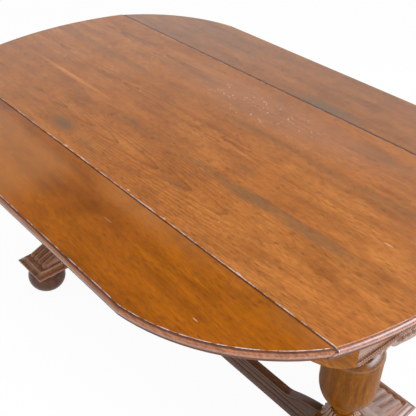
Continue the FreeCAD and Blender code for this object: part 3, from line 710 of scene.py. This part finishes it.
# Lumps: reach is out, across and up, from the middle
LUMP_SINK = 0.0012  # carved lumps run this far into the board
LUMP_SEGMENTS = 12
LUMP_RINGS = 8
LUMP_TAPER_BELOW = -0.3  # share of its height
LUMP_BACK = 0.4  # share of its reach that is left behind the middle

# The twisted bead
ROPE_Z = 0.670
ROPE_PITCH = 0.0049
ROPE_RUN = (0.1165, 0.2095)  # across, from the middle
STRAND_REACH = (0.0072, 0.0024, 0.0053)
TWIST_TURN = 0.62  # radians

# The oval boss in the middle of the apron, and its ring of beads
BOSS_Z = 0.648
BOSS_REACH = (0.0075, 0.0150, 0.0120)
BOSS_BEADS = 14
BOSS_BEAD_ACROSS = 0.0195
BOSS_BEAD_RISE = 0.0165
BOSS_BEAD_REACH = (0.0042, 0.0034, 0.0034)

# Eyes beside the leaves
EYE_ACROSS = 0.1035
EYE_Z = 0.6565
EYE_RADIUS = 0.0062
EYE_WALL = 0.0028
EYE_SEGMENTS = (20, 8)
EYE_STRETCH = (1.5, 1.0, 1.12)
EYE_BACK = 0.002

LEAF_LOBES = (
    # across, height, lean, length
    (0.0925, 0.6500, 0.70, 0.0135),
    (0.0790, 0.6470, 0.55, 0.0145),
    (0.0640, 0.6435, 0.42, 0.0150),
    (0.0480, 0.6400, 0.30, 0.0155),
    (0.0320, 0.6380, 0.16, 0.0155),
    (0.0860, 0.6610, 0.95, 0.0135),
    (0.0715, 0.6575, 0.80, 0.0145),
    (0.0560, 0.6545, 0.65, 0.0150),
    (0.0400, 0.6520, 0.45, 0.0150),
)
LOBE_OUT = 0.0050
LOBE_WIDTH = 0.38  # half width, as a share of the length
LOBE_HEIGHT = 0.62  # half height, as a share of the length
LOBE_TAPER = 0.55
SCROLL_BEADS = (
    # across, height
    (0.0925, 0.6690),
    (0.0825, 0.6705),
    (0.0725, 0.6705),
    (0.0625, 0.6700),
    (0.0525, 0.6695),
    (0.0425, 0.6695),
    (0.0325, 0.6700),
)
SCROLL_REACH = (0.0042, 0.0050, 0.0036)
SMALL_PETALS = (
    # across, height, lean
    (0.1440, 0.6605, 0.30),
    (0.1560, 0.6605, 0.00),
    (0.1680, 0.6615, -0.35),
)
PETAL_REACH = (0.0045, 0.0060, 0.0085)
PETAL_TAPER = 0.7

# Ribs on the flare at a column's foot
RIB_COUNT = 20
RIB_CORNERS = 10
RIB_SECTIONS = (
    # out from the column's axis, height, half depth, half width
    (0.0258, 0.2355, 0.0012, 0.0012),
    (0.0272, 0.2290, 0.0026, 0.0031),
    (0.0306, 0.2205, 0.0031, 0.0040),
    (0.0356, 0.2125, 0.0037, 0.0047),
    (0.0405, 0.2065, 0.0040, 0.0051),
    (0.0432, 0.2040, 0.0028, 0.0036),
)

# Rounded corners of the stretcher
CORNER_WIDTH = 0.0035
CORNER_STEPS = 3
CORNER_FROM = math.radians(40)
FLAT_WITHIN = math.radians(1)
WELD = 0.00001


def deselect():
    bpy.ops.object.select_all(action="DESELECT")


def edit_all():
    bpy.ops.object.mode_set(mode="EDIT")
    bpy.ops.mesh.select_all(action="SELECT")


def cut_behind(x):
    """Cuts off what lies behind x, closes the cut and selects all."""
    bpy.ops.mesh.bisect(plane_co=(x, 0, 0), plane_no=(1, 0, 0), use_fill=True, clear_inner=True)
    bpy.ops.mesh.select_all(action="SELECT")


def settle(piece):
    """Leaves edit mode with normals outwards and the place in the mesh."""
    bpy.ops.mesh.normals_make_consistent(inside=False)
    bpy.ops.object.mode_set(mode="OBJECT")
    bpy.ops.object.transform_apply(location=True, rotation=True, scale=True)
    bpy.ops.object.shade_smooth_by_angle(angle=SMOOTH_BELOW)
    return piece


def copied(piece):
    """A copy with its own mesh, selected alone."""
    deselect()
    piece.select_set(True)
    bpy.context.view_layer.objects.active = piece
    bpy.ops.object.duplicate(linked=False)
    return bpy.context.object


def moved(piece, turn, axis, centre, shift=(0, 0, 0)):
    edit_all()
    bpy.ops.transform.rotate(value=turn, orient_axis=axis, center_override=centre)
    bpy.ops.transform.translate(value=shift)
    bpy.ops.object.mode_set(mode="OBJECT")
    return piece


def joined(pieces, name):
    deselect()
    for piece in pieces:
        piece.select_set(True)
    bpy.context.view_layer.objects.active = pieces[0]
    bpy.ops.object.join()
    pieces[0].name = name
    return pieces[0]


def face_x(across):
    """Where the apron's bowed face stands at this place across."""
    return FACE_X - FACE_BOW_R + math.sqrt(FACE_BOW_R**2 - across**2)


def lump(across, height, reach, turn=0.0, taper=1.0):
    """A rounded boss on the apron: a ball flattened, tapered below, turned and cut off behind."""
    place = (face_x(across) - LUMP_SINK, across, height)
    deselect()
    bpy.ops.mesh.primitive_uv_sphere_add(
        segments=LUMP_SEGMENTS, ring_count=LUMP_RINGS, radius=1.0, location=place
    )
    boss = bpy.context.object
    edit_all()
    bpy.ops.transform.resize(value=reach, center_override=place)
    bpy.ops.mesh.select_all(action="DESELECT")
    bpy.ops.object.mode_set(mode="OBJECT")
    for corner in boss.data.vertices:
        corner.select = corner.co.z < LUMP_TAPER_BELOW * reach[2]
    bpy.ops.object.mode_set(mode="EDIT")
    bpy.ops.transform.resize(value=(1, taper, 1), center_override=place)
    bpy.ops.mesh.select_all(action="SELECT")
    bpy.ops.transform.rotate(value=turn, orient_axis="X", center_override=place)
    cut_behind(place[0] - LUMP_BACK * reach[0])
    return settle(boss)


def eye(across, height):
    """A carved ring round a deep eye: a hoop flattened, its back cut off."""
    place = (face_x(across) - LUMP_SINK, across, height)
    deselect()
    bpy.ops.mesh.primitive_torus_add(
        location=place,
        rotation=(0, math.pi / 2, 0),
        major_segments=EYE_SEGMENTS[0],
        minor_segments=EYE_SEGMENTS[1],
        major_radius=EYE_RADIUS,
        minor_radius=EYE_WALL,
    )
    hoop = bpy.context.object
    edit_all()
    bpy.ops.transform.resize(value=EYE_STRETCH, center_override=place)
    cut_behind(place[0] - EYE_BACK)
    return settle(hoop)


def rope_bead():
    """Twisted bead on both sides of the apron's carving."""
    strands = []
    count = int((ROPE_RUN[1] - ROPE_RUN[0]) / ROPE_PITCH)
    for side in (-1, 1):
        first = lump(side * ROPE_RUN[0], ROPE_Z, STRAND_REACH, side * TWIST_TURN)
        strands.append(first)
        for number in range(1, count + 1):
            across = side * (ROPE_RUN[0] + number * ROPE_PITCH)
            shift = (face_x(across) - face_x(ROPE_RUN[0]), side * number * ROPE_PITCH, 0)
            strands.append(moved(copied(first), 0.0, "X", (0, 0, 0), shift))
    return joined(strands, "rope_east")


def apron_carving():
    """Leaves and scrolls along the lobed edge, an oval boss in the middle."""
    work = [lump(0.0, BOSS_Z, BOSS_REACH)]
    for number in range(BOSS_BEADS):
        turn = 2 * math.pi * number / BOSS_BEADS
        across = BOSS_BEAD_ACROSS * math.sin(turn)
        height = BOSS_Z + BOSS_BEAD_RISE * math.cos(turn)
        work.append(lump(across, height, BOSS_BEAD_REACH))
    for side in (-1, 1):
        work.append(eye(side * EYE_ACROSS, EYE_Z))
        for across, height, lean, length in LEAF_LOBES:
            reach = (LOBE_OUT, LOBE_WIDTH * length, LOBE_HEIGHT * length)
            work.append(lump(side * across, height, reach, side * lean, LOBE_TAPER))
        for across, height in SCROLL_BEADS:
            work.append(lump(side * across, height, SCROLL_REACH))
        for across, height, lean in SMALL_PETALS:
            work.append(lump(side * across, height, PETAL_REACH, side * lean, PETAL_TAPER))
    return joined(work, "carving_east")


def flare_rib():
    """One carved rib that follows the hollow flare of the column's foot down and out."""
    out, height, deep, wide = RIB_SECTIONS[0]
    deselect()
    place = (COLUMN_X + out, 0, height)
    bpy.ops.mesh.primitive_circle_add(vertices=RIB_CORNERS, radius=1.0, fill_type="NGON", location=place)
    rib = bpy.context.object
    edit_all()
    bpy.ops.transform.resize(value=(deep, wide, 1), center_override=place)
    for next_out, next_height, next_deep, next_wide in RIB_SECTIONS[1:]:
        shift = (next_out - out, 0, next_height - height)
        bpy.ops.mesh.extrude_region_move(TRANSFORM_OT_translate={"value": shift})
        place = (COLUMN_X + next_out, 0, next_height)
        bpy.ops.transform.resize(value=(next_deep / deep, next_wide / wide, 1), center_override=place)
        out, height, deep, wide = next_out, next_height, next_deep, next_wide
    bpy.ops.mesh.select_all(action="SELECT")
    return settle(rib)


def flare_ribs():
    first = flare_rib()
    ribs = [first]
    for number in range(1, RIB_COUNT):
        turn = 2 * math.pi * number / RIB_COUNT
        ribs.append(moved(copied(first), turn, "Z", (COLUMN_X, 0, 0)))
    return joined(ribs, "ribs_east")


def fitted(piece, material):
    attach(piece, "frame")
    dress(piece, material)


def softened(name, width):
    """A copy of a node with its corners rounded off, shown in its place."""
    piece = copied(nodes[name])
    piece.name = name + "_soft"
    edit_all()
    bpy.ops.mesh.remove_doubles(threshold=WELD)
    bpy.ops.mesh.dissolve_limited(angle_limit=FLAT_WITHIN)
    bpy.ops.object.mode_set(mode="OBJECT")
    corners = piece.modifiers.new("corners", "BEVEL")
    corners.width = width
    corners.segments = CORNER_STEPS
    corners.limit_method = "ANGLE"
    corners.angle_limit = CORNER_FROM
    bpy.ops.object.modifier_apply(modifier="corners")
    bpy.ops.object.shade_smooth_by_angle(angle=SMOOTH_BELOW)
    fitted(piece, finish_for(name))
    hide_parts(name)


softened("stretcher", CORNER_WIDTH)
for build, material in ((rope_bead, APRON_OAK), (apron_carving, APRON_OAK), (flare_ribs, FOOT_OAK)):
    east = build()
    west = moved(copied(east), math.pi, "Z", (0, 0, 0))
    west.name = east.name.replace("east", "west")
    fitted(east, material)
    fitted(west, material)


# Stage: a pale floor, a white surround, soft light and the camera

FLOOR_SIZE = 60.0
FLOOR_PALE = rgb(0.93, 0.93, 0.93)
FLOOR_ROUGHNESS = 0.9
FLOOR_GLOW = 0.94  # share of the floor that shows plain white, the rest keeps the shadow
GLOSS_GLOW = 0.30  # the same share in gloss
WHITE = rgb(1, 1, 1)

# World: what the eye, the fill and the gloss see
SOFT_FILL = 0.55
SURROUND_UP = (-0.35, 0.20, 1.0)  # towards the part that dims, overhead
SURROUND_DIMS = (0.70, 0.92, 1.0, 0.04)
SURROUND_SIDE = (-1.0, 1.0, 0.0)  # towards the side that stays bright
SURROUND_SHADE = (0.0, 0.9, 0.25, 1.0)
WINDOW_SIDE = (0.60, 0.80, 0.0)  # towards the bright window that polished edges mirror
WINDOW_GLINT = 15.0
WINDOW_SPAN = (0.35, 0.75, 0.0, WINDOW_GLINT)
WINDOW_BLUE = rgb(0.66, 0.80, 1.0)

# Lamps: name, place, aim, size, power, colour
DAYLIGHT = (1.0, 1.0, 1.0)
COOL_DAYLIGHT = (0.88, 0.92, 1.0)
LAMPS = (
    ("window", (3.0, -0.8, 1.2), (0.3, 0.0, 0.4), (1.6, 1.4), 36.0, DAYLIGHT),
    ("side_window", (2.8, 1.75, 1.65), (0.6, 0.0, 0.7), (2.4, 2.8), 64.0, COOL_DAYLIGHT),
    ("overhead", (0.9, -0.9, 3.3), (0.0, 0.0, 0.7), (2.4, 2.4), 83.0, DAYLIGHT),
)


def floor_finish():
    """Pale floor that shows white, with a soft shadow, to the eye and in gloss."""
    paint = Finish("floor_pale")
    rays = paint.node("LightPath").outputs
    gloss = paint.product(rays["Is Glossy Ray"], GLOSS_GLOW)
    seen = paint.math("MAXIMUM", rays["Is Camera Ray"], rays["Is Transmission Ray"])
    seen = paint.math("MAXIMUM", paint.product(seen, FLOOR_GLOW), gloss)
    paint.finish(Base_Color=FLOOR_PALE, Roughness=FLOOR_ROUGHNESS)
    white = paint.node("Emission", {"Color": WHITE, "Strength": 1.0})
    mix = paint.node("MixShader", {0: seen, 1: paint.shader.outputs[0], 2: white.outputs[0]})
    paint.put(paint.tree.nodes["Material Output"], "Surface", mix.outputs[0])
    return paint.material


def studio_world():
    """White to the eye and a soft fill; gloss sees a surround that dims overhead, and a bluish window
    that grows brighter upwards."""
    world = bpy.data.worlds.new("studio")
    bpy.context.scene.world = world
    world.use_nodes = True
    sky = Nodes(world.node_tree)
    rays = sky.node("LightPath").outputs
    towards = sky.node("TexCoord").outputs["Generated"]
    surround = sky.product(
        sky.spread(sky.dot(towards, SURROUND_UP), *SURROUND_DIMS, smooth=True),
        sky.spread(sky.dot(towards, SURROUND_SIDE), *SURROUND_SHADE, smooth=True),
    )
    light = sky.between(rays["Is Glossy Ray"], SOFT_FILL, surround)
    light = sky.between(rays["Is Camera Ray"], light, 1.0)
    back = sky.tree.nodes["Background"]
    sky.put(back, "Color", WHITE)
    sky.put(back, "Strength", light)
    glint = sky.spread(sky.dot(towards, WINDOW_SIDE), *WINDOW_SPAN, smooth=True)
    height = sky.parts(towards)[2]
    glint = sky.product(glint, sky.product(height, height), rays["Is Glossy Ray"])
    pane = sky.node("Background", {"Color": WINDOW_BLUE, "Strength": glint})
    both = sky.node("AddShader", {0: back.outputs[0], 1: pane.outputs[0]})
    sky.put(sky.tree.nodes["World Output"], "Surface", both.outputs[0])


def soft_light(name, place, aim, size, power, colour):
    """An area lamp that lights the table and isn't mirrored in its polish."""
    lamp = bpy.data.lights.new(name, "AREA")
    lamp.shape = "RECTANGLE"
    lamp.size, lamp.size_y = size
    lamp.energy = power
    lamp.color = colour
    made = bpy.data.objects.new(name, lamp)
    made.location = place
    made.rotation_euler = (Vector(aim) - Vector(place)).to_track_quat("-Z", "Y").to_euler()
    made.visible_glossy = False
    bpy.context.scene.collection.objects.link(made)


deselect()
bpy.ops.mesh.primitive_plane_add(size=FLOOR_SIZE, location=(0, 0, 0))
floor = bpy.context.object
floor.name = "floor"
dress(floor, floor_finish())
studio_world()
for lamp_values in LAMPS:
    soft_light(*lamp_values)

camera_data = bpy.data.cameras.new("camera")
camera_data.lens = CAMERA_LENS
camera_data.shift_x, camera_data.shift_y = CAMERA_SHIFT
camera = bpy.data.objects.new("camera", camera_data)
camera.location = CAMERA_PLACE
camera.rotation_euler = Euler([math.radians(angle) for angle in CAMERA_TURN])
bpy.context.scene.collection.objects.link(camera)
bpy.context.scene.camera = camera
bpy.context.scene.view_settings.view_transform = "Standard"
